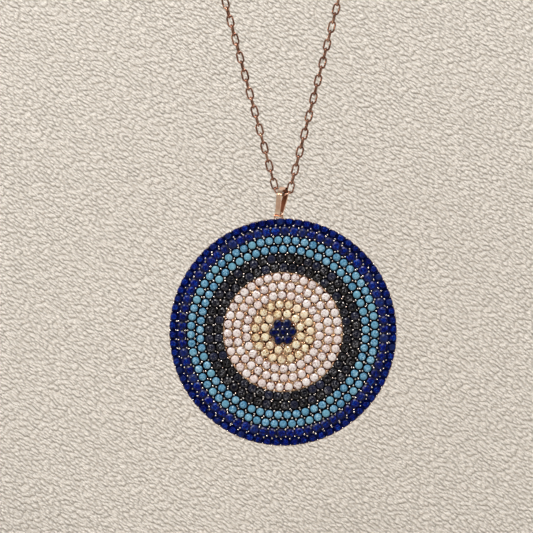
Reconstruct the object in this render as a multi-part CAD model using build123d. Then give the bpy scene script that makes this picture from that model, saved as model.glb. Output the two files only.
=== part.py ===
from build123d import *
import math
import os

# Evil eye pendant on a closed loop of cable chain. Millimetres, +Z up, the jewelled face towards -Y.
# The origin is the axis of the round peg that the chain hangs over.

# ---- driving dimensions: the chain
PEG_LINE_R = 9.0  # radius that the chain's centre line takes round the peg
STRAND_BEND_R = 0.9 * PEG_LINE_R  # where a strand turns onto it
CHAIN_D = 1.10  # width of a link across the strand
LINK_L = 1.86  # length of a link over its ends
LINK_WIRE = 0.28  # wire of the links along the strands
LINK_PITCH = LINK_L - 2 * LINK_WIRE
NEAR_WIRE = 0.17  # wire of the links that are modelled one by one, thinner so that they clear each other

# ---- driving dimensions: the pendant
DISC_R = 15.95  # radius of the cast disc
DISC_T = 1.1  # thickness of its floor
SKIRT_DEPTH = 2.2  # depth of the wall round the back
SKIRT_T = 0.8
EDGE_BREAK = 0.15
FRONT_Y = -0.66  # front face, so that the centre of mass hangs under the bail
DISC_X = 0.0
DISC_Z = -51.67
RING_PITCH = 1.29  # from one ring of stones to the next
RING_STONES = [6, 12, 19, 26, 32, 38, 45, 50, 57, 65, 70, 76]
RING_TURN = [3.0, -13.8, -17.0, -5.6, -9.8, -8.1, -6.6, -1.9, -4.8, -1.2, -3.6, -3.35]  # degrees
RING_NODES = [
    "stones_navy_heart",
    "stones_yellow_inner",
    "stones_yellow_outer",
    "stones_white_inner",
    "stones_white_middle",
    "stones_white_outer",
    "stones_black_inner",
    "stones_black_outer",
    "stones_turquoise_inner",
    "stones_turquoise_outer",
    "stones_navy_inner",
    "stones_navy_outer",
]
STONE_R = 0.56
SEAT_R = 0.46  # the hole through the disc that a stone's point hangs into
RIM_SEAT_R = 0.38  # the blind holes of the outermost ring, which stands over the wall
RIM_SEAT_DEPTH = 0.7
TABLE_R = 0.33
CROWN_H = 0.16
GIRDLE_H = 0.03
PAVILION_H = 0.45

# ---- driving dimensions: the bail and the pendant's loop
BAIL_TILT = 10.5  # degrees, its foot leaning towards -X
BAIL_YAW = -24.0  # degrees round its own length, which opens its right side to the front
BAIL_WALL = 0.25
BAIL_TOP_R = 0.90  # inside, round the chain
BAIL_FOOT_R = 0.42  # inside, round the loop
BAIL_TOP_W = 0.74
BAIL_FOOT_W = 0.62
HINGE_X = -0.07  # the bail's upper hinge, in the bight of the chain
HINGE_Z = -32.42
LOOP_X = -0.62  # under the bail's foot
LOOP_R = 0.56  # middle of the loop's wire
LOOP_WIRE = 0.30
LOOP_RISE = 0.32  # centre of the loop above the disc's edge

# ---- driving dimensions: the spring ring clasp, lying flat over the peg
CLASP_X = 0.0
CLASP_Z = 9.2
CLASP_LINE_R = 2.0  # middle of its tube
CLASP_TUBE_R = 0.75
CLASP_BORE_R = 0.47
BOLT_R = 0.40
MOUTH = (-65.0, -25.0)  # degrees round the clasp, from +X towards +Y
SOCKET_END = -19.0
BOLT_ARC = (-140.0, -20.5)
BORE_END = -235.0
SPRING_ARC = (-232.0, -190.0)
SPRING_R = (0.31, 0.44)
SLOT_ARC = (-126.0, -71.0)
SLOT_HALF = 0.23
KNOB_AT = -76.0
KNOB_R = 0.18
KNOB_REACH = 3.05
THUMB_R = 0.30
EYE_R = 0.50
EYE_WIRE = 0.36
EYE_OUT = 3.20  # centre of the eye from the clasp's centre
LINK_RING_R = 0.95  # small ring between the eye and the chain
LINK_RING_WIRE = 0.34
END_RING_R = 1.15
END_RING_WIRE = 0.38

# ---- the chain's route on each side, from the bail to its last link
# Each strand stands about 15 degrees off the vertical and then bends over the peg.
LEFT_ROUTE = [(-1.49, 0, -29.93), (-9.56, 0, 0.18), (-7.88, 0, 5.04), (-5.67, 0, 7.00)]
RIGHT_ROUTE = [(1.30, 0, -30.46), (9.25, 0, 0.69), (7.08, 0, 6.34), (4.36, 0, 7.87)]

# ---- where the links in and beside the bail hook into each other, from the left strand to the right
BIGHT = [(-1.417, -30.20), (-1.087, -31.46), (-0.323, -32.51), (0.91, -32.01), (1.23, -30.73)]
BIGHT_TWISTS = [0.0, -50.0, -110.0, -180.0]  # how far each of these links is turned from facing the front


def node(name, shape):
    """Write one sub-part, a solid or a group of separate solids, to its own file."""
    solids = shape.solids()
    export_step(solids[0] if len(solids) == 1 else Compound(children=solids), f"parts/{name}.step")


def turn(x, z, degrees):
    """A direction turned in the XZ plane from +Z towards +X."""
    c, s = math.cos(math.radians(degrees)), math.sin(math.radians(degrees))
    return x * c + z * s, z * c - x * s


# ---------------------------------------------------------------- pendant
def on_disc(shape):
    """Carry a shape made face up round the origin to the hanging disc."""
    face = Plane(origin=(DISC_X, FRONT_Y, DISC_Z), x_dir=(1, 0, 0), z_dir=(0, -1, 0))
    return face.location * shape


def seat_places():
    """Where the stones stand on the disc, ring by ring; the middle stone belongs to the first ring."""
    rings = []
    for number, (count, lead) in enumerate(zip(RING_STONES, RING_TURN), start=1):
        angles = [math.radians(lead + 360 * k / count) for k in range(count)]
        radius = number * RING_PITCH
        rings.append([(radius * math.cos(a), radius * math.sin(a)) for a in angles])
    rings[0].append((0.0, 0.0))
    return rings


def disc(rings):
    outline = Polyline(
        (0, 0),
        (DISC_R - EDGE_BREAK, 0),
        (DISC_R, -EDGE_BREAK),
        (DISC_R, -SKIRT_DEPTH),
        (DISC_R - SKIRT_T, -SKIRT_DEPTH),
        (DISC_R - SKIRT_T, -DISC_T),
        (0, -DISC_T),
        close=True,
    )
    body = revolve(Plane.XZ * make_face(outline), Axis.Z)
    through = Cylinder(SEAT_R, 2 * DISC_T)
    blind = Pos(0, 0, -RIM_SEAT_DEPTH / 2) * Cylinder(RIM_SEAT_R, RIM_SEAT_DEPTH)
    seats = [Pos(x, y, -DISC_T / 2) * through for ring in rings[:-1] for x, y in ring]
    seats += [Pos(x, y, 0) * blind for x, y in rings[-1]]
    return on_disc(body - seats)


def faceted_stone(seat_r):
    """A round stone whose lower cone rests on the edge of its seat, its girdle just above the disc."""
    girdle_z = (STONE_R - seat_r) * PAVILION_H / STONE_R
    outline = Polyline(
        (0, girdle_z - PAVILION_H),
        (STONE_R, girdle_z),
        (STONE_R, girdle_z + GIRDLE_H),
        (TABLE_R, girdle_z + GIRDLE_H + CROWN_H),
        (0, girdle_z + GIRDLE_H + CROWN_H),
        close=True,
    )
    return revolve(Plane.XZ * make_face(outline), Axis.Z)


def pendant_loop():
    centre = DISC_Z + DISC_R + LOOP_RISE
    loop = Pos(LOOP_X, 0, centre) * Rot(90, 0, 0) * Torus(LOOP_R, LOOP_WIRE / 2)
    round_edge = Pos(DISC_X, 0, DISC_Z) * Rot(90, 0, 0) * Cylinder(DISC_R, 4 * DISC_T)
    return loop - round_edge


def bail():
    """A tapered strip bent into a closed drop, open sideways, round the chain and the loop."""
    foot_z = DISC_Z + DISC_R + LOOP_RISE
    drop = HINGE_Z - foot_z - BAIL_FOOT_R - BAIL_WALL / 2

    def drop_face(extra):
        top = Circle(BAIL_TOP_R + extra)
        foot = Pos(0, -drop) * Circle(BAIL_FOOT_R + extra)
        return make_hull([*top.edges(), *foot.edges()])

    strip = extrude(Plane.YZ * (drop_face(BAIL_WALL) - drop_face(0)), BAIL_TOP_W, both=True)
    top_z = BAIL_TOP_R + BAIL_WALL
    low_z = -drop - BAIL_FOOT_R - BAIL_WALL
    front = Polyline(
        (-BAIL_TOP_W / 2, top_z),
        (BAIL_TOP_W / 2, top_z),
        (BAIL_TOP_W / 2, -BAIL_TOP_R),
        (BAIL_FOOT_W / 2, low_z),
        (-BAIL_FOOT_W / 2, low_z),
        (-BAIL_TOP_W / 2, -BAIL_TOP_R),
        close=True,
    )
    taper = extrude(Plane.XZ * make_face(front), 2 * BAIL_TOP_R + 2, both=True)
    return Pos(HINGE_X, 0, HINGE_Z) * Rot(0, BAIL_TILT, 0) * Rot(0, 0, BAIL_YAW) * (strip & taper)


# ---------------------------------------------------------------- chain
def link(wire):
    """One oval link, long in X and wide in Z."""
    end_r = (CHAIN_D - LINK_WIRE) / 2
    straight = LINK_L - CHAIN_D
    half = straight / 2
    bend = Rot(90, 0, 0) * Torus(end_r, wire / 2)
    block = Box(4 * CHAIN_D, 4 * CHAIN_D, 4 * CHAIN_D)
    right = Pos(half, 0, 0) * (bend & (Pos(2 * CHAIN_D, 0, 0) * block))
    left = Pos(-half, 0, 0) * (bend & (Pos(-2 * CHAIN_D, 0, 0) * block))
    rail = Rot(0, 90, 0) * Cylinder(wire / 2, straight)
    return right + left + Pos(0, 0, end_r) * rail + Pos(0, 0, -end_r) * rail


def link_between(start, end, twist, wire):
    """A link from one joint of the chain to the next, turned round its length from the XZ plane."""
    dx, dz = end[0] - start[0], end[1] - start[1]
    middle = Pos((start[0] + end[0]) / 2, 0, (start[1] + end[1]) / 2)
    slope = Rot(0, -math.degrees(math.atan2(dz, dx)), 0)
    return middle * slope * Rot(twist, 0, 0) * link(wire)


def bight_links():
    """The links that pass through the bail and up each side, which make half a turn between them."""
    places = zip(BIGHT[:-1], BIGHT[1:], BIGHT_TWISTS)
    return [link_between(start, end, twist, NEAR_WIRE) for start, end, twist in places]


def strand(route):
    """The stretch of chain between its modelled links, as a plain tube."""
    path = FilletPolyline(*route, radius=[STRAND_BEND_R] * (len(route) - 2))
    ends = Plane(origin=path @ 0, z_dir=path % 0)
    return sweep(ends * Circle(CHAIN_D / 2), path=path)


# ---------------------------------------------------------------- clasp
def at_clasp(shape):
    return Pos(CLASP_X, 0, CLASP_Z) * shape


def hoop(radius, start, end):
    """Part of the clasp's ring: a rod of this radius bent round it, between two angles."""
    return Rot(0, 0, start) * revolve(Plane.XZ * Pos(CLASP_LINE_R, 0) * Circle(radius), Axis.Z, end - start)


def clasp_tube():
    tube = hoop(CLASP_TUBE_R, MOUTH[1], MOUTH[0] + 360)
    tube -= hoop(CLASP_BORE_R, BORE_END + 360, MOUTH[0] + 362)
    tube -= hoop(CLASP_BORE_R, MOUTH[1] - 2, SOCKET_END)
    window = Plane.XZ * Pos(CLASP_LINE_R + CLASP_TUBE_R, 0) * Rectangle(2 * CLASP_TUBE_R, 2 * SLOT_HALF)
    tube -= Rot(0, 0, SLOT_ARC[0]) * revolve(window, Axis.Z, SLOT_ARC[1] - SLOT_ARC[0])
    return at_clasp(tube)


def clasp_bolt():
    rod = hoop(BOLT_R, *BOLT_ARC)
    stem_l = KNOB_REACH - CLASP_LINE_R
    stem = Pos(CLASP_LINE_R + stem_l / 2, 0, 0) * Rot(0, 90, 0) * Cylinder(KNOB_R, stem_l)
    thumb = Pos(KNOB_REACH, 0, 0) * Sphere(THUMB_R)
    return at_clasp(rod + Rot(0, 0, KNOB_AT) * (stem + thumb))


def clasp_spring():
    return at_clasp(hoop(SPRING_R[1], *SPRING_ARC) - hoop(SPRING_R[0], SPRING_ARC[0] - 2, SPRING_ARC[1] + 2))


def clasp_eye():
    eye = Pos(-EYE_OUT, 0, 0) * Torus(EYE_R, EYE_WIRE / 2)
    return at_clasp(eye - hoop(CLASP_TUBE_R, 90, 270))


def upright_ring(x, z, radius, wire):
    return Pos(x, 0, z) * Rot(90, 0, 0) * Torus(radius, wire / 2)


def tangent_direction(x, z, side):
    """From a point above the peg, the direction in which the chain comes straight off the peg's line."""
    out = math.hypot(x, z)
    from_top = math.degrees(math.atan2(abs(x), z)) + math.degrees(math.acos(PEG_LINE_R / out))
    dx, dz = turn(1, 0, from_top)
    return side * dx, dz


def clasp_end_left():
    """The small ring in the eye, and the chain's last link in that ring."""
    x, z = CLASP_X - EYE_OUT, CLASP_Z
    dx, dz = tangent_direction(x, z, -1)
    ring = upright_ring(x + LINK_RING_R * dx, z + LINK_RING_R * dz, LINK_RING_R, LINK_RING_WIRE)
    first = 2 * LINK_RING_R - LINK_RING_WIRE / 2
    start = (x + first * dx, z + first * dz)
    end = (start[0] + LINK_PITCH * dx, start[1] + LINK_PITCH * dz)
    return ring, link_between(start, end, 90, NEAR_WIRE)


def clasp_end_right():
    """The ring that the bolt closes in, round the clasp's tube, and the chain's last link in it."""
    x, z = CLASP_X + CLASP_LINE_R, CLASP_Z
    dx, dz = tangent_direction(x, z, 1)
    inside = END_RING_R - END_RING_WIRE / 2
    lead = inside - CLASP_TUBE_R - 0.04
    ring = upright_ring(x + lead * dx, z + lead * dz, END_RING_R, END_RING_WIRE)
    start = (x + (lead + inside) * dx, z + (lead + inside) * dz)
    end = (start[0] + LINK_PITCH * dx, start[1] + LINK_PITCH * dz)
    return ring, link_between(start, end, 90, NEAR_WIRE)


os.makedirs("parts", exist_ok=True)

rings = seat_places()
node("pendant_disc", disc(rings))
for name, places in zip(RING_NODES, rings):
    stone = faceted_stone(RIM_SEAT_R if places is rings[-1] else SEAT_R)
    node(name, Compound(children=[on_disc(Pos(x, y, 0) * stone) for x, y in places]))
node("pendant_loop", pendant_loop())
node("bail", bail())

node("chain_bight_links", Compound(children=bight_links()))
node("chain_left", strand(LEFT_ROUTE))
node("chain_right", strand(RIGHT_ROUTE))
clasp_ring, left_link = clasp_end_left()
end_ring, right_link = clasp_end_right()
node("chain_end_links", Compound(children=[left_link, right_link]))
node("clasp_ring", clasp_ring)
node("end_ring", end_ring)
node("clasp_tube", clasp_tube())
node("clasp_bolt", clasp_bolt())
node("clasp_spring", clasp_spring())
node("clasp_eye", clasp_eye())
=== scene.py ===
import math
import random

import bpy
from mathutils import Matrix, Vector


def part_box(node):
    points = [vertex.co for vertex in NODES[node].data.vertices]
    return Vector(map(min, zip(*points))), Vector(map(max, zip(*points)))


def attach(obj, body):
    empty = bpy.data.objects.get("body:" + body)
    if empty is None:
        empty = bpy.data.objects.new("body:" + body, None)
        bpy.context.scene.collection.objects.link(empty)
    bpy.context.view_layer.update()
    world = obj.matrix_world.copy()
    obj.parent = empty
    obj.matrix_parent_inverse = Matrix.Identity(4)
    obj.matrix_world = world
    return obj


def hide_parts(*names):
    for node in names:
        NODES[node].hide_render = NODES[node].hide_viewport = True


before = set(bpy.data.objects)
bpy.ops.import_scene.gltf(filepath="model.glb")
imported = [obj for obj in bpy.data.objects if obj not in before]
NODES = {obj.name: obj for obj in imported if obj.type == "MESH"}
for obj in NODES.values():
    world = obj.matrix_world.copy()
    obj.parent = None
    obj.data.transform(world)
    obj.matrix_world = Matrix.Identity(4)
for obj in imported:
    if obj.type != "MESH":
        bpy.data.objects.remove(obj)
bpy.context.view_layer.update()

MM = 0.001

# ---- the disc, from the frame
DISC_LOW, DISC_HIGH = [Vector(corner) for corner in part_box("pendant_disc")]
DISC_MID = (DISC_LOW + DISC_HIGH) / 2
FRONT = Vector((DISC_MID.x, DISC_LOW.y, DISC_MID.z))  # middle of the jewelled face

# ---- stones and beads. The rings, seats and the height of the cut are as in part.py. The stones' radii go by
# colour, where part.py has one radius for all, and part.py has no beads.
RING_PITCH = 1.29 * MM
STONE_R = {
    "navy": 0.62 * MM,
    "yellow": 0.56 * MM,
    "white": 0.575 * MM,
    "black": 0.58 * MM,
    "turquoise": 0.53 * MM,
}
EDGE_STONE_R = 0.485 * MM  # the stones of the outermost ring stop at the disc's edge
SEAT_R = 0.46 * MM
RIM_SEAT_R = 0.38 * MM
TABLE_R = 0.33 * MM
CROWN_H = 0.16 * MM
GIRDLE_H = 0.03 * MM
PAVILION_H = 0.45 * MM
BEAD_R = 0.14 * MM
BEAD_H = 0.27 * MM
BEAD_OFFSET = 0.50 * MM  # from the middle of a ring of stones to its beads
RIM_BEAD_OFFSET = 0.40 * MM
HEART_BEAD_OFFSET = 0.55 * MM
BEAD_SHIFT = 0.03 * MM  # how far a bead can stand from its place

# node, stones in the ring, degrees that its first stone is turned, cut and colour
RINGS = [
    ("stones_navy_heart", 6, 3.0, "navy"),
    ("stones_yellow_inner", 12, -13.8, "yellow"),
    ("stones_yellow_outer", 19, -17.0, "yellow"),
    ("stones_white_inner", 26, -5.6, "white"),
    ("stones_white_middle", 32, -9.8, "white"),
    ("stones_white_outer", 38, -8.1, "white"),
    ("stones_black_inner", 45, -6.6, "black"),
    ("stones_black_outer", 50, -1.9, "black"),
    ("stones_turquoise_inner", 57, -4.8, "turquoise"),
    ("stones_turquoise_outer", 65, -1.2, "turquoise"),
    ("stones_navy_inner", 70, -3.6, "navy"),
    ("stones_navy_outer", 76, -3.35, "navy"),
]
HEART_RINGS = 1  # the blackened middle
HEART_EDGE = 0.12  # how far past those rings it reaches, in rings
GOLD_ZONE_RINGS = 6  # the last ring inside the blackened outer part of the disc
TURQUOISE_END = 10  # the last ring inside the blue-black edge

# ---- colours of the plating: where it is dull, usual and bright
ROSE_GOLD = ((0.84, 0.54, 0.41), (0.96, 0.70, 0.55), (1.00, 0.86, 0.70))
# painted reflection: the chain's rose gold is coloured much darker than the bail's, standing in for the dim
# room it reflects
DARK_REFLECTION_ROSE_GOLD = ((0.20, 0.095, 0.065), (0.36, 0.19, 0.135), (0.68, 0.44, 0.32))
# painted shade: the dark colour inside the bail stands in for the shadow in its hollow
BAIL_INSIDE_SHADE = (0.24, 0.09, 0.05)  # inside the bail

# ---- grain of the leathercloth behind the pendant
GRAIN_SLANT = 40.0  # degrees that its wrinkles run down to the right
GRAIN_STRETCH = 2.0
GRAIN_DEPTH = 0.42 * MM

# ---- chain, in metres. The links and the bight are as in part.py, except for thicker wire near the bail and
# at the ends. Each route is one smooth curve, where part.py has straight runs with rounded corners.
LINK_L = 1.86 * MM
LINK_W = 1.10 * MM
LINK_WIRE = 0.28 * MM
LINK_PITCH = LINK_L - 2 * LINK_WIRE
NEAR_WIRE = 0.24 * MM  # wire of the links in the bight and at the ends
LEFT_ROUTE = [
    (-0.00149, 0, -0.02993),
    (-0.00788, 0, -0.00615),
    (-0.00956, 0, 0.00018),
    (-0.00788, 0, 0.00504),
    (-0.00567, 0, 0.00700),
]
RIGHT_ROUTE = [
    (0.00130, 0, -0.03046),
    (0.00762, 0, -0.00570),
    (0.00925, 0, 0.00069),
    (0.00708, 0, 0.00634),
    (0.00436, 0, 0.00787),
]
BIGHT = [
    (-0.001417, -0.03020),
    (-0.001087, -0.03146),
    (-0.000323, -0.03251),
    (0.00091, -0.03201),
    (0.00123, -0.03073),
]
BIGHT_TWISTS = [0, -50, -110, -180]  # degrees that each of these links is turned from facing the front
LEFT_DRIFT = (4, 20)  # degrees that the links are turned further, near the bail and at the clasp
RIGHT_DRIFT = (8, 6)
LEFT_END_LINK = ((-0.004492, 0.008050), (-0.005463, 0.007186))
RIGHT_END_LINK = ((0.002985, 0.008646), (0.004118, 0.008009))


# ================================================================ camera
def make_camera():
    """Almost square on to the disc, from a little to its right and below: a thin line of its wall shows."""
    view_width = 74.75 * MM
    distance = 0.60
    aside = math.radians(2.0)
    below = math.radians(2.0)
    data = bpy.data.cameras.new("camera")
    data.sensor_width = 36.0
    data.lens = data.sensor_width * distance / view_width
    data.clip_start = 0.01
    data.clip_end = 20.0
    camera = bpy.data.objects.new("camera", data)
    aim = FRONT + Vector((-2.30 * MM, 0, 9.19 * MM))
    back = Vector((math.sin(aside) * math.cos(below), -math.cos(aside) * math.cos(below), -math.sin(below)))
    camera.location = aim + back * distance
    camera.rotation_euler = (math.radians(90) + below, 0, aside)
    bpy.context.collection.objects.link(camera)
    bpy.context.scene.camera = camera


# ================================================================ materials
def shader(name):
    """A new material with its Principled node and its links."""
    material = bpy.data.materials.new(name)
    material.use_nodes = True
    return material, material.node_tree.nodes["Principled BSDF"], material.node_tree


def add(tree, kind, **settings):
    made = tree.nodes.new(kind)
    for key, value in settings.items():
        setattr(made, key, value)
    return made


def ramp(tree, factor, stops):
    made = add(tree, "ShaderNodeValToRGB")
    elements = made.color_ramp.elements
    while len(elements) < len(stops):
        elements.new(0.5)
    for element, (place, colour) in zip(elements, stops):
        element.position = place
        element.color = (*colour, 1)
    tree.links.new(factor, made.inputs["Fac"])
    return made.outputs["Color"]


def noise(tree, scale, detail=3.0):
    coordinates = add(tree, "ShaderNodeTexCoord")
    made = add(tree, "ShaderNodeTexNoise")
    made.inputs["Scale"].default_value = scale
    made.inputs["Detail"].default_value = detail
    tree.links.new(coordinates.outputs["Object"], made.inputs["Vector"])
    return made.outputs["Fac"]


def bump(tree, principled, height, distance, strength=0.3):
    made = add(tree, "ShaderNodeBump")
    made.inputs["Distance"].default_value = distance
    made.inputs["Strength"].default_value = strength
    tree.links.new(height, made.inputs["Height"])
    tree.links.new(made.outputs["Normal"], principled.inputs["Normal"])


def rose_gold(name, low, middle, high):
    """Polished plating with faint wear: the colour and the gloss change slowly over the surface."""
    material, principled, tree = shader(name)
    principled.inputs["Metallic"].default_value = 1.0
    colour = ramp(tree, noise(tree, 900.0), [(0.30, low), (0.55, middle), (0.75, high)])
    tree.links.new(colour, principled.inputs["Base Color"])
    gloss = ramp(tree, noise(tree, 4000.0), [(0.3, (0.10, 0.10, 0.10)), (0.7, (0.24, 0.24, 0.24))])
    tree.links.new(gloss, principled.inputs["Roughness"])
    bump(tree, principled, noise(tree, 9000.0), 0.01 * MM, 0.25)
    return material


def bail_plating(low, middle, high, inside):
    """Rose gold that is polished outside and rougher inside, where no polishing wheel reaches; inside, its
    colour is darkened as painted shade.
    """
    material, principled, tree = shader("rose_gold_bail")
    principled.inputs["Metallic"].default_value = 1.0
    coordinates = add(tree, "ShaderNodeTexCoord")
    bail_low, bail_high = [Vector(corner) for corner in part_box("bail")]
    centred = add(tree, "ShaderNodeVectorMath", operation="SUBTRACT")
    centred.inputs[1].default_value = (bail_low + bail_high) / 2
    outward = add(tree, "ShaderNodeVectorMath", operation="DOT_PRODUCT")
    tree.links.new(coordinates.outputs["Object"], centred.inputs[0])
    tree.links.new(centred.outputs[0], outward.inputs[0])
    tree.links.new(coordinates.outputs["Normal"], outward.inputs[1])
    side = add(tree, "ShaderNodeMapRange")
    side.inputs["From Min"].default_value = -0.10 * MM
    side.inputs["From Max"].default_value = 0.0
    tree.links.new(outward.outputs["Value"], side.inputs["Value"])
    polished = ramp(tree, noise(tree, 900.0), [(0.30, low), (0.55, middle), (0.75, high)])
    # painted shade: the inside of the bail takes the dark colour
    mix = add(tree, "ShaderNodeMix", data_type="RGBA")
    tree.links.new(side.outputs["Result"], mix.inputs["Factor"])
    mix.inputs[6].default_value = (*inside, 1)
    tree.links.new(polished, mix.inputs[7])
    tree.links.new(mix.outputs[2], principled.inputs["Base Color"])
    gloss = ramp(tree, side.outputs["Result"], [(0.0, (0.50, 0.50, 0.50)), (1.0, (0.14, 0.14, 0.14))])
    tree.links.new(gloss, principled.inputs["Roughness"])
    bump(tree, principled, noise(tree, 9000.0), 0.01 * MM, 0.25)
    return material


def disc_plating():
    """Black rhodium round the middle stones and under the dark and turquoise rings, rose gold elsewhere."""
    material, principled, tree = shader("disc_two_tone_plate")
    principled.inputs["Metallic"].default_value = 1.0
    coordinates = add(tree, "ShaderNodeTexCoord")
    centred = add(tree, "ShaderNodeVectorMath", operation="SUBTRACT")
    centred.inputs[1].default_value = FRONT
    flat = add(tree, "ShaderNodeVectorMath", operation="MULTIPLY")
    flat.inputs[1].default_value = (1, 0, 1)
    length = add(tree, "ShaderNodeVectorMath", operation="LENGTH")
    tree.links.new(coordinates.outputs["Object"], centred.inputs[0])
    tree.links.new(centred.outputs[0], flat.inputs[0])
    tree.links.new(flat.outputs[0], length.inputs[0])
    depth = add(tree, "ShaderNodeSeparateXYZ")
    tree.links.new(centred.outputs[0], depth.inputs[0])

    def step(value, edge, width, rising):
        made = add(tree, "ShaderNodeMapRange", interpolation_type="SMOOTHSTEP")
        made.inputs["From Min"].default_value = edge - width / 2
        made.inputs["From Max"].default_value = edge + width / 2
        made.inputs["To Min"].default_value = 0.0 if rising else 1.0
        made.inputs["To Max"].default_value = 1.0 if rising else 0.0
        tree.links.new(value, made.inputs["Value"])
        return made.outputs["Result"]

    def both(first, second):
        made = add(tree, "ShaderNodeMath", operation="MULTIPLY")
        tree.links.new(first, made.inputs[0])
        tree.links.new(second, made.inputs[1])
        return made.outputs[0]

    outside = step(length.outputs["Value"], (GOLD_ZONE_RINGS + 0.5) * RING_PITCH, 0.15 * MM, True)
    heart = step(length.outputs["Value"], (HEART_RINGS + HEART_EDGE) * RING_PITCH, 0.15 * MM, False)
    inside_rim = step(length.outputs["Value"], DISC_HIGH.x - DISC_MID.x - 0.04 * MM, 0.03 * MM, False)
    near_front = step(depth.outputs["Y"], 0.80 * MM, 0.2 * MM, False)
    blackened = add(tree, "ShaderNodeMath", operation="ADD")
    tree.links.new(both(outside, inside_rim), blackened.inputs[0])
    tree.links.new(heart, blackened.inputs[1])
    black = both(blackened.outputs[0], near_front)
    # random tone of the black and blue plating; in the rose gold it also scatters the painted shade and
    # highlight
    wear_and_shade_noise = noise(tree, 1800.0)
    face = both(inside_rim, near_front)
    # painted shade and highlight: the rose gold is coloured darker next to each ring of stones and brighter
    # midway between rings
    rows = add(tree, "ShaderNodeMath", operation="PINGPONG")
    rows.inputs[1].default_value = RING_PITCH / 2
    tree.links.new(length.outputs["Value"], rows.inputs[0])
    ridge = step(rows.outputs[0], 0.40 * RING_PITCH, 0.12 * RING_PITCH, True)
    height = add(tree, "ShaderNodeMath", operation="MULTIPLY_ADD")
    height.inputs[1].default_value = 0.10
    tree.links.new(ridge, height.inputs[0])
    tree.links.new(wear_and_shade_noise, height.inputs[2])
    # painted shade and highlight: near-black where shade falls beside the stones, bright gold where light
    # would catch the metal
    painted_shade_and_glint_gold = ramp(
        tree,
        height.outputs[0],
        [(0.45, (0.08, 0.022, 0.011)), (0.52, (0.56, 0.21, 0.12)), (0.58, (1.00, 0.70, 0.44))],
    )
    polished = ramp(tree, noise(tree, 600.0), [(0.30, (0.74, 0.42, 0.30)), (0.70, (0.92, 0.62, 0.46))])
    gold = add(tree, "ShaderNodeMix", data_type="RGBA")
    tree.links.new(face, gold.inputs["Factor"])
    tree.links.new(polished, gold.inputs[6])
    tree.links.new(painted_shade_and_glint_gold, gold.inputs[7])
    charcoal = ramp(tree, wear_and_shade_noise, [(0.35, (0.002, 0.002, 0.004)), (0.70, (0.009, 0.009, 0.014))])
    blue = ramp(tree, wear_and_shade_noise, [(0.35, (0.002, 0.005, 0.070)), (0.70, (0.008, 0.020, 0.190))])
    bluish = add(tree, "ShaderNodeMath", operation="ADD")
    edge_zone = step(length.outputs["Value"], (TURQUOISE_END + 0.5) * RING_PITCH, 0.15 * MM, True)
    tree.links.new(edge_zone, bluish.inputs[0])
    tree.links.new(heart, bluish.inputs[1])
    dark = add(tree, "ShaderNodeMix", data_type="RGBA")
    tree.links.new(bluish.outputs[0], dark.inputs["Factor"])
    tree.links.new(charcoal, dark.inputs[6])
    tree.links.new(blue, dark.inputs[7])
    mix = add(tree, "ShaderNodeMix", data_type="RGBA")
    tree.links.new(black, mix.inputs["Factor"])
    tree.links.new(gold.outputs[2], mix.inputs[6])
    tree.links.new(dark.outputs[2], mix.inputs[7])
    tree.links.new(mix.outputs[2], principled.inputs["Base Color"])
    gloss = ramp(tree, noise(tree, 5000.0), [(0.3, (0.18, 0.18, 0.18)), (0.7, (0.36, 0.36, 0.36))])
    tree.links.new(gloss, principled.inputs["Roughness"])
    bump(tree, principled, both(noise(tree, 3200.0, 1.0), face), 0.12 * MM, 0.9)
    return material


def bead_metal(name, low, high):
    material, principled, tree = shader(name)
    principled.inputs["Metallic"].default_value = 1.0
    colour = ramp(tree, noise(tree, 1200.0), [(0.35, low), (0.65, high)])
    tree.links.new(colour, principled.inputs["Base Color"])
    gloss = ramp(tree, noise(tree, 6000.0), [(0.3, (0.10, 0.10, 0.10)), (0.7, (0.24, 0.24, 0.24))])
    tree.links.new(gloss, principled.inputs["Roughness"])
    return material


def gem(name, stops, drift, ior, roughness):
    """A stone whose facets hold the light and dark that the light inside it makes.

    The facet colour attribute has that tone in red, and in green how far the stone drifts to another colour.
    """
    material, principled, tree = shader(name)
    facets = add(tree, "ShaderNodeVertexColor", layer_name="facet")
    split = add(tree, "ShaderNodeSeparateColor")
    tree.links.new(facets.outputs["Color"], split.inputs["Color"])
    colour = ramp(tree, split.outputs["Red"], stops)
    drifted = add(tree, "ShaderNodeMix", data_type="RGBA")
    tree.links.new(split.outputs["Green"], drifted.inputs["Factor"])
    tree.links.new(colour, drifted.inputs[6])
    drifted.inputs[7].default_value = (*drift, 1)
    cloud = ramp(tree, noise(tree, 2500.0), [(0.3, (0.84, 0.84, 0.86)), (0.7, (1.0, 1.0, 1.0))])
    mix = add(tree, "ShaderNodeMix", data_type="RGBA", blend_type="MULTIPLY")
    mix.inputs["Factor"].default_value = 1.0
    tree.links.new(drifted.outputs[2], mix.inputs[6])
    tree.links.new(cloud, mix.inputs[7])
    tree.links.new(mix.outputs[2], principled.inputs["Base Color"])
    principled.inputs["Roughness"].default_value = roughness
    principled.inputs["IOR"].default_value = ior
    return material


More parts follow.
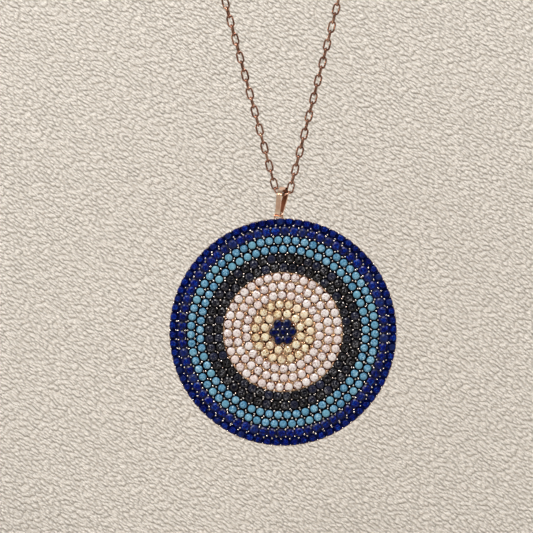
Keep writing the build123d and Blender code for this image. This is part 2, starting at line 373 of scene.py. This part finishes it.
def gem_materials():
    return {
        "navy": gem("navy_stone", [
            (0.0, (0.000, 0.001, 0.022)),
            (0.45, (0.000, 0.004, 0.135)),
            (0.8, (0.000, 0.014, 0.290)),
            (1.0, (0.006, 0.075, 0.460)),
        ], (0.014, 0.028, 0.110), 1.33, 0.24),
        "yellow": gem("yellow_stone", [
            (0.0, (0.300, 0.140, 0.060)),
            (0.3, (0.760, 0.530, 0.270)),
            (0.6, (0.990, 0.870, 0.580)),
            (1.0, (1.000, 0.990, 0.840)),
        ], (0.980, 0.800, 0.640), 1.9, 0.08),
        "white": gem("white_stone", [
            (0.0, (0.280, 0.160, 0.140)),
            (0.3, (0.660, 0.530, 0.520)),
            (0.6, (0.930, 0.840, 0.840)),
            (1.0, (1.000, 0.980, 0.980)),
        ], (0.880, 0.680, 0.630), 1.9, 0.08),
        "black": gem("black_stone", [
            (0.0, (0.000, 0.000, 0.001)),
            (0.5, (0.002, 0.002, 0.004)),
            (0.8, (0.020, 0.020, 0.026)),
            (1.0, (0.230, 0.230, 0.250)),
        ], (0.020, 0.027, 0.080), 1.45, 0.07),
        "turquoise": gem("turquoise_stone", [
            (0.0, (0.015, 0.100, 0.230)),
            (0.4, (0.070, 0.270, 0.480)),
            (0.75, (0.145, 0.385, 0.610)),
            (1.0, (0.390, 0.670, 0.860)),
        ], (0.180, 0.450, 0.600), 1.6, 0.14),
    }


# ================================================================ meshes
def mesh_object(name, points, faces, shades=None, smooth=False):
    data = bpy.data.meshes.new(name)
    data.from_pydata(points, [], faces)
    data.update()
    data.polygons.foreach_set("use_smooth", [smooth] * len(faces))
    if shades is not None:
        layer = data.color_attributes.new(name="facet", type="FLOAT_COLOR", domain="CORNER")
        for polygon, (tone, drift) in zip(data.polygons, shades):
            for corner in polygon.loop_indices:
                layer.data[corner].color = (tone, drift, 0, 1)
    made = bpy.data.objects.new(name, data)
    bpy.context.collection.objects.link(made)
    return made


def on_disc(x, y, height):
    """A point of the jewelled face: x to the right, y up, height out of the face."""
    return (FRONT.x + x, FRONT.y - height, FRONT.z + y)


def polar(radius, angle, height):
    return (radius * math.cos(angle), radius * math.sin(angle), height)


def brilliant(stone_r, girdle_z, table_r, crown_h, star_r):
    """Points and facets of an upright round brilliant on the origin, its facets from the table outwards."""
    eighth = math.pi / 4
    top = girdle_z + GIRDLE_H
    table_z = top + crown_h
    slope = crown_h / (stone_r - table_r)
    star_z = table_z - (star_r * math.cos(eighth / 2) - table_r) * slope
    point_z = girdle_z - PAVILION_H
    knee_r = 0.3 * stone_r
    knee_z = point_z + knee_r * math.cos(eighth / 2) * PAVILION_H / stone_r
    points = [(0, 0, table_z)]
    points += [polar(0.5 * table_r, eighth * (k + 0.5), table_z) for k in range(8)]
    points += [polar(table_r, eighth * k, table_z) for k in range(8)]
    points += [polar(star_r, eighth * (k + 0.5), star_z) for k in range(8)]
    points += [polar(stone_r, eighth * j / 2, top) for j in range(16)]
    points += [polar(stone_r, eighth * j / 2, girdle_z) for j in range(16)]
    points += [polar(knee_r, eighth * (k + 0.5), knee_z) for k in range(8)]
    points += [(0, 0, point_z)]
    inner, table, star, upper, lower, knee, culet = 1, 9, 17, 25, 41, 57, 65
    faces = []
    for k in range(8):
        after = (k + 1) % 8
        before = (k - 1) % 8
        girdle = 2 * k
        between = girdle + 1
        beyond = (girdle + 2) % 16
        faces += [
            (0, inner + before, inner + k),
            (inner + before, table + k, inner + k),
            (inner + k, table + k, table + after),
            (table + k, star + k, table + after),
            (table + k, star + before, upper + girdle, star + k),
            (star + k, upper + girdle, upper + between),
            (star + k, upper + between, upper + beyond),
            (upper + girdle, lower + girdle, lower + between, upper + between),
            (upper + between, lower + between, lower + beyond, upper + beyond),
            (lower + girdle, knee + before, culet, knee + k),
            (lower + girdle, knee + k, lower + between),
            (lower + between, knee + k, lower + beyond),
        ]
    return points, faces


# for each colour: how likely a dark and a bright facet is, the tones of the rest, how much whole stones drift
FACET_TONES = {
    "navy": (0.25, 0.08, (0.15, 0.80), 0.7),
    "black": (0.34, 0.16, (0.10, 0.80), 0.6),
    "white": (0.16, 0.22, (0.45, 0.95), 0.5),
    "yellow": (0.20, 0.18, (0.35, 0.90), 0.6),
    "turquoise": (0.12, 0.16, (0.30, 0.90), 0.8),
}


# how much lighter or darker each of the twelve facets in an eighth of a stone is, from the table to the point
FACET_LIGHT = [0.10, 0.08, 0.08, 0.02, -0.04, -0.34, -0.34, -0.30, -0.30, -0.30, -0.30, -0.30]
HEART_TONE = -0.48  # the stones of the heart look darker than the other navy ones


def facet_tone(draw, colour):
    dark, bright, middle, _ = FACET_TONES[colour]
    chance = draw.random()
    if chance < dark:
        return draw.uniform(0.0, 0.3)
    if chance > 1 - bright:
        return draw.uniform(0.9, 1.0)
    return draw.uniform(*middle)


def ring_angles(count, lead):
    return [math.radians(lead + 360 * k / count) for k in range(count)]


def stones_of_ring(number, node, count, lead, colour, materials):
    """All the stones of one ring, each turned and shaded by its own draw."""
    draw = random.Random(node)
    seat_r = RIM_SEAT_R if number == len(RINGS) else SEAT_R
    stone_r = EDGE_STONE_R if number == len(RINGS) else STONE_R[colour]
    girdle_z = (stone_r - seat_r) * PAVILION_H / stone_r
    cut_points, cut_faces = brilliant(stone_r, girdle_z, TABLE_R, CROWN_H, 0.80 * stone_r)
    places = [polar(number * RING_PITCH, angle, 0)[:2] for angle in ring_angles(count, lead)]
    if number == 1:
        places.append((0.0, 0.0))
    points, faces, shades = [], [], []
    for x, y in places:
        spin = draw.uniform(0, math.pi / 4)
        lean = draw.uniform(-0.05, 0.05)
        tip = draw.uniform(-0.05, 0.05)
        stone_tone = draw.uniform(-0.18, 0.12) + (HEART_TONE if number == 1 else 0)
        drift = FACET_TONES[colour][3] * draw.random() ** 3
        c, s = math.cos(spin), math.sin(spin)
        first = len(points)
        for px, py, pz in cut_points:
            qx, qy = px * c - py * s, px * s + py * c
            points.append(on_disc(x + qx, y + qy, pz + lean * qx + tip * qy))
        for face_number, face in enumerate(cut_faces):
            tone = facet_tone(draw, colour) + stone_tone + FACET_LIGHT[face_number % 12]
            shades.append((min(1.0, max(0.0, tone)), drift))
            faces.append([first + corner for corner in face])
    made = mesh_object(node.replace("stones", "gems"), points, faces, shades)
    made.data.materials.append(materials[colour])
    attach(made, "pendant")
    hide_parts(node)


def bead_points(x, y, radius, height, sides=10):
    """A round-topped grain of metal: rows of points up its side, then its top."""
    points = []
    levels = [(1.25, 0.0), (1.02, 0.30), (1.0, 0.55), (0.80, 0.80), (0.45, 0.95)]
    for wide, high in levels:
        for k in range(sides):
            angle = 2 * math.pi * k / sides
            side_x, side_y, _ = polar(wide * radius, angle, 0)
            points.append(on_disc(x + side_x, y + side_y, high * height))
    points.append(on_disc(x, y, height))
    faces = []
    for row in range(len(levels) - 1):
        for k in range(sides):
            a, b = row * sides + k, row * sides + (k + 1) % sides
            faces.append([a, b, b + sides, a + sides])
    last = (len(levels) - 1) * sides
    faces += [[last + k, last + (k + 1) % sides, len(points) - 1] for k in range(sides)]
    faces.append([k for k in reversed(range(sides))])
    return points, faces


def bead_places():
    """Two beads in every gap of every ring: one on its outer side and one on its inner side."""
    gold, dark = [], []
    for number, (node, count, lead, colour) in enumerate(RINGS, start=1):
        for angle in ring_angles(count, lead + 180 / count):
            for side in (-1, 1):
                offset = RIM_BEAD_OFFSET if number == len(RINGS) and side > 0 else BEAD_OFFSET
                if number == 1 and side < 0:
                    offset = HEART_BEAD_OFFSET
                place = polar(number * RING_PITCH + side * offset, angle, 0)[:2]
                gold_zone = HEART_RINGS < number <= GOLD_ZONE_RINGS
                (gold if gold_zone else dark).append(place)
    return gold, dark


def make_beads(name, places, material):
    draw = random.Random(name)
    points, faces = [], []
    for x, y in places:
        size = draw.uniform(0.85, 1.12)
        bead_x = x + draw.uniform(-BEAD_SHIFT, BEAD_SHIFT)
        bead_y = y + draw.uniform(-BEAD_SHIFT, BEAD_SHIFT)
        made, rows = bead_points(bead_x, bead_y, BEAD_R * size, BEAD_H * draw.uniform(0.9, 1.1))
        faces += [[len(points) + corner for corner in row] for row in rows]
        points += made
    beads = mesh_object(name, points, faces, smooth=True)
    beads.data.materials.append(material)
    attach(beads, "pendant")


# ================================================================ chain
def link_mesh(wire, steps=7, sides=8):
    """Rings of points round the wire of one link, which is long in X and wide in Y."""
    bend_r = (LINK_W - LINK_WIRE) / 2
    half = (LINK_L - LINK_W) / 2
    points, faces = [], []
    for end in (1, -1):
        for k in range(steps):
            angle = -math.pi / 2 + math.pi * k / (steps - 1)
            outward = Vector((math.cos(angle), math.sin(angle), 0)) * end
            centre = Vector((half * end, 0, 0)) + outward * bend_r
            for side in range(sides):
                turn = 2 * math.pi * side / sides
                way = outward * math.cos(turn) + Vector((0, 0, 1)) * math.sin(turn)
                points.append(centre + way * wire / 2)
    rows = 2 * steps
    for row in range(rows):
        for k in range(sides):
            a, b = row * sides, ((row + 1) % rows) * sides
            faces.append([a + k, b + k, b + (k + 1) % sides, a + (k + 1) % sides])
    return points, faces


def link_at(start, end, twist):
    """Where one link stands, from the joint before it to the one after, turned by twist from the front."""
    along = (end - start).normalized()
    stretch = (end - start).length / LINK_PITCH
    sideways = along.cross(Vector((0, 1, 0))).normalized()
    across = sideways * math.cos(math.radians(twist)) + Vector((0, 1, 0)) * math.sin(math.radians(twist))
    turned = Matrix((along * stretch, across, along.cross(across))).transposed().to_4x4()
    return Matrix.Translation((start + end) / 2) @ turned


def chain_mesh(name, joints, twists, wire, material):
    """Links from joint to joint, each turned by its own twist."""
    link_points, link_faces = link_mesh(wire)
    points, faces = [], []
    for start, end, twist in zip(joints[:-1], joints[1:], twists):
        place = link_at(start, end, twist)
        faces += [[len(points) + corner for corner in face] for face in link_faces]
        points += [place @ point for point in link_points]
    made = mesh_object(name, points, faces, smooth=True)
    made.data.materials.append(material)
    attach(made, "chain")
    return made


def spline_points(name, route):
    """The smooth line through a route: a NURBS curve's own points."""
    data = bpy.data.curves.new(name, "CURVE")
    data.dimensions = "3D"
    spline = data.splines.new("NURBS")
    spline.points.add(len(route) - 1)
    for point, place in zip(spline.points, route):
        point.co = (*place, 1)
    spline.order_u = 3
    spline.use_endpoint_u = True
    spline.resolution_u = 24
    made = bpy.data.objects.new(name, data)
    bpy.context.collection.objects.link(made)
    line = bpy.data.meshes.new_from_object(made.evaluated_get(bpy.context.evaluated_depsgraph_get()))
    points = [vertex.co.copy() for vertex in line.vertices]
    bpy.data.meshes.remove(line)
    bpy.data.objects.remove(made)
    return points


def walk(line, distances):
    """The points at these distances along a line, running on straight past its ends."""
    found = []
    for distance in distances:
        gone = 0.0
        for number, (a, b) in enumerate(zip(line[:-1], line[1:])):
            step = (b - a).length
            if distance <= gone + step or number == len(line) - 2:
                found.append(a + (b - a) * ((distance - gone) / step))
                break
            gone += step
    return found


def strand(name, route, drift, node, material):
    """One side of the chain, link by link from the bight to its end link, every other one edge on."""
    line = spline_points(name + "_route", route)
    length = sum((b - a).length for a, b in zip(line[:-1], line[1:]))
    reach = length + 2 * LINK_WIRE
    links = 2 * round(reach / LINK_PITCH / 2)
    joints = walk(line, [reach * k / links - LINK_WIRE for k in range(links + 1)])
    twists = [90 * (k + 1) + drift[0] + (drift[1] - drift[0]) * k / links for k in range(links)]
    made = chain_mesh(name, joints, twists, LINK_WIRE, material)
    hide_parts(node)


def end_links(material):
    """The last link on each side, in the clasp's rings."""
    made = []
    for name, ends in (("end_link_left", LEFT_END_LINK), ("end_link_right", RIGHT_END_LINK)):
        joints = [Vector((x, 0, z)) for x, z in ends]
        made.append(chain_mesh(name, joints, [90], NEAR_WIRE, material))
    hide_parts("chain_end_links")
    return made


def bight_links(material):
    joints = [Vector((x, 0, z)) for x, z in BIGHT]
    made = chain_mesh("bight_links", joints, BIGHT_TWISTS, NEAR_WIRE, material)
    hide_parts("chain_bight_links")


# ================================================================ studio
def area_light(name, place, aim, size, energy, colour):
    data = bpy.data.lights.new(name, "AREA")
    data.shape = "RECTANGLE"
    data.size, data.size_y = size
    data.energy = energy
    data.color = colour
    lamp = bpy.data.objects.new(name, data)
    lamp.location = place
    lamp.rotation_euler = (Vector(aim) - Vector(place)).to_track_quat("-Z", "Y").to_euler()
    bpy.context.collection.objects.link(lamp)


def studio_lights():
    aim = (0, 0, -0.045)
    area_light("key", (-0.11, -0.35, 0.39), aim, (0.20, 0.20), 2.18, (1.0, 0.985, 0.965))
    area_light("spot_left", (-0.42, -0.30, 0.10), aim, (0.05, 0.05), 0.35, (1.0, 0.92, 0.80))
    area_light("spot_right", (0.34, -0.36, 0.26), aim, (0.06, 0.06), 0.45, (1.0, 0.94, 0.86))
    area_light("low", (0.20, -0.45, -0.38), aim, (0.10, 0.10), 0.56, (1.0, 0.92, 0.84))


def cove_material():
    """Pale grained leathercloth that only its front shows, so that it hides nothing from behind."""
    material, principled, tree = shader("cove_leathercloth")
    coordinates = add(tree, "ShaderNodeTexCoord")
    slanted = add(tree, "ShaderNodeMapping", vector_type="TEXTURE")
    slanted.inputs["Rotation"].default_value = (0, math.radians(GRAIN_SLANT), 0)
    slanted.inputs["Scale"].default_value = (GRAIN_STRETCH, 1, 1)
    tree.links.new(coordinates.outputs["Object"], slanted.inputs["Vector"])
    sway = add(tree, "ShaderNodeTexNoise")
    sway.inputs["Scale"].default_value = 1000.0
    tree.links.new(slanted.outputs["Vector"], sway.inputs["Vector"])
    moved = add(tree, "ShaderNodeVectorMath", operation="MULTIPLY_ADD")
    moved.inputs[1].default_value = (0.30 * MM, 0.30 * MM, 0.30 * MM)
    tree.links.new(sway.outputs["Color"], moved.inputs[0])
    tree.links.new(slanted.outputs["Vector"], moved.inputs[2])
    pebbles = add(tree, "ShaderNodeTexVoronoi", feature="F1")
    pebbles.inputs["Scale"].default_value = 2800.0
    tree.links.new(moved.outputs[0], pebbles.inputs["Vector"])
    raised = ramp(
        tree,
        pebbles.outputs["Distance"],
        [(0.10, (1, 1, 1)), (0.50, (0.60, 0.60, 0.60)), (0.80, (0, 0, 0))],
    )
    height = add(tree, "ShaderNodeMix", data_type="RGBA")
    height.inputs["Factor"].default_value = 0.15
    tree.links.new(raised, height.inputs[6])
    tree.links.new(noise(tree, 2700.0), height.inputs[7])
    # painted shade and highlight: the creases of the grain are coloured darker and its raised cells lighter
    painted_crease_shade = add(tree, "ShaderNodeMix", data_type="RGBA")
    tree.links.new(height.outputs[2], painted_crease_shade.inputs["Factor"])
    painted_crease_shade.inputs[6].default_value = (0.77, 0.73, 0.675, 1)
    painted_crease_shade.inputs[7].default_value = (0.94, 0.90, 0.848, 1)
    tree.links.new(painted_crease_shade.outputs[2], principled.inputs["Base Color"])
    principled.inputs["Roughness"].default_value = 0.42
    principled.inputs["Specular IOR Level"].default_value = 0.8
    bump(tree, principled, height.outputs[2], GRAIN_DEPTH, 1.0)
    geometry = add(tree, "ShaderNodeNewGeometry")
    clear = add(tree, "ShaderNodeBsdfTransparent")
    mix = add(tree, "ShaderNodeMixShader")
    tree.links.new(geometry.outputs["Backfacing"], mix.inputs["Fac"])
    tree.links.new(principled.outputs["BSDF"], mix.inputs[1])
    tree.links.new(clear.outputs["BSDF"], mix.inputs[2])
    tree.links.new(mix.outputs["Shader"], tree.nodes["Material Output"].inputs["Surface"])
    return material


def make_cove():
    """A floor that curves up into walls: one behind the pendant, clear of its swing, and one on each side."""
    wall_y, side_x, floor_z, top_z = 0.050, 0.45, -0.200, 0.9
    near_y = -0.9
    corner = 0.15  # radius, seen from above, between two walls
    bend = 0.045  # radius between floor and wall
    steps = 12
    left = [((-side_x, near_y), (-1, 0))]  # points along the walls, each with its direction out of the room
    for k in range(steps + 1):
        angle = math.pi / 2 * k / steps
        out = (-math.cos(angle), math.sin(angle))
        left.append(((-side_x + corner + corner * out[0], wall_y - corner + corner * out[1]), out))
    right = [((-x, y), (-out_x, out_y)) for (x, y), (out_x, out_y) in reversed(left)]
    plan = left + right
    rise = [math.pi / 2 * k / steps for k in range(steps + 1)]
    profile = [(bend * (math.sin(angle) - 1), floor_z + bend * (1 - math.cos(angle))) for angle in rise]
    profile.append((0, top_z))
    points = [(x + out[0] * way, y + out[1] * way, z) for (x, y), out in plan for way, z in profile]
    rows = len(profile)
    faces = []
    for k in range(len(plan) - 1):
        for row in range(rows - 1):
            low, beside = k * rows + row, (k + 1) * rows + row
            faces.append([low, beside, beside + 1, low + 1])
    faces.append([k * rows for k in reversed(range(len(plan)))])
    cove = mesh_object("cove", points, faces, smooth=True)
    cove.data.materials.append(cove_material())


def make_world():
    """Pale where the camera sees it; for reflections dim in front and bright overhead, as in a room."""
    world = bpy.data.worlds.new("studio")
    bpy.context.scene.world = world
    world.use_nodes = True
    tree = world.node_tree
    background = tree.nodes["Background"]
    coordinates = add(tree, "ShaderNodeTexCoord")
    split = add(tree, "ShaderNodeSeparateXYZ")
    tree.links.new(coordinates.outputs["Generated"], split.inputs[0])
    up = add(tree, "ShaderNodeMapRange")
    up.inputs["From Min"].default_value = -1.0
    tree.links.new(split.outputs["Z"], up.inputs["Value"])
    room = ramp(
        tree,
        up.outputs["Result"],
        [
            (0.0, (0.16, 0.125, 0.10)),
            (0.5, (0.07, 0.065, 0.06)),
            (0.8, (0.26, 0.255, 0.25)),
            (1.0, (0.85, 0.84, 0.82)),
        ],
    )
    path = add(tree, "ShaderNodeLightPath")
    mix = add(tree, "ShaderNodeMix", data_type="RGBA")
    tree.links.new(path.outputs["Is Camera Ray"], mix.inputs["Factor"])
    tree.links.new(room, mix.inputs[6])
    mix.inputs[7].default_value = (0.78, 0.74, 0.68, 1)
    tree.links.new(mix.outputs[2], background.inputs["Color"])


# ================================================================ making
bpy.context.scene.view_settings.view_transform = "Standard"
make_camera()
gold = rose_gold("rose_gold_plate", *ROSE_GOLD)
chain_metal = rose_gold("rose_gold_chain", *DARK_REFLECTION_ROSE_GOLD)
left_link, right_link = end_links(chain_metal)
strand("chain_links_left", LEFT_ROUTE, LEFT_DRIFT, "chain_left", chain_metal)
strand("chain_links_right", RIGHT_ROUTE, RIGHT_DRIFT, "chain_right", chain_metal)
bight_links(chain_metal)

materials = gem_materials()
for number, (node, count, lead, colour) in enumerate(RINGS, start=1):
    stones_of_ring(number, node, count, lead, colour, materials)
gold_beads, dark_beads = bead_places()
make_beads("beads_rose", gold_beads, bead_metal("bead_rose", (0.86, 0.52, 0.33), (1.00, 0.84, 0.62)))
make_beads("beads_pale", dark_beads, bead_metal("bead_pale", (0.58, 0.54, 0.54), (0.90, 0.86, 0.85)))

for name in ("pendant_loop", "clasp_ring", "end_ring", "clasp_tube", "clasp_bolt", "clasp_eye"):
    NODES[name].data.materials.clear()
    NODES[name].data.materials.append(gold)
NODES["bail"].data.materials.clear()
NODES["bail"].data.materials.append(bail_plating(*ROSE_GOLD, BAIL_INSIDE_SHADE))
NODES["clasp_spring"].data.materials.clear()
spring_steel = bead_metal("spring_steel", (0.40, 0.40, 0.42), (0.62, 0.62, 0.64))
NODES["clasp_spring"].data.materials.append(spring_steel)
NODES["pendant_disc"].data.materials.clear()
NODES["pendant_disc"].data.materials.append(disc_plating())

make_cove()
make_world()
studio_lights()
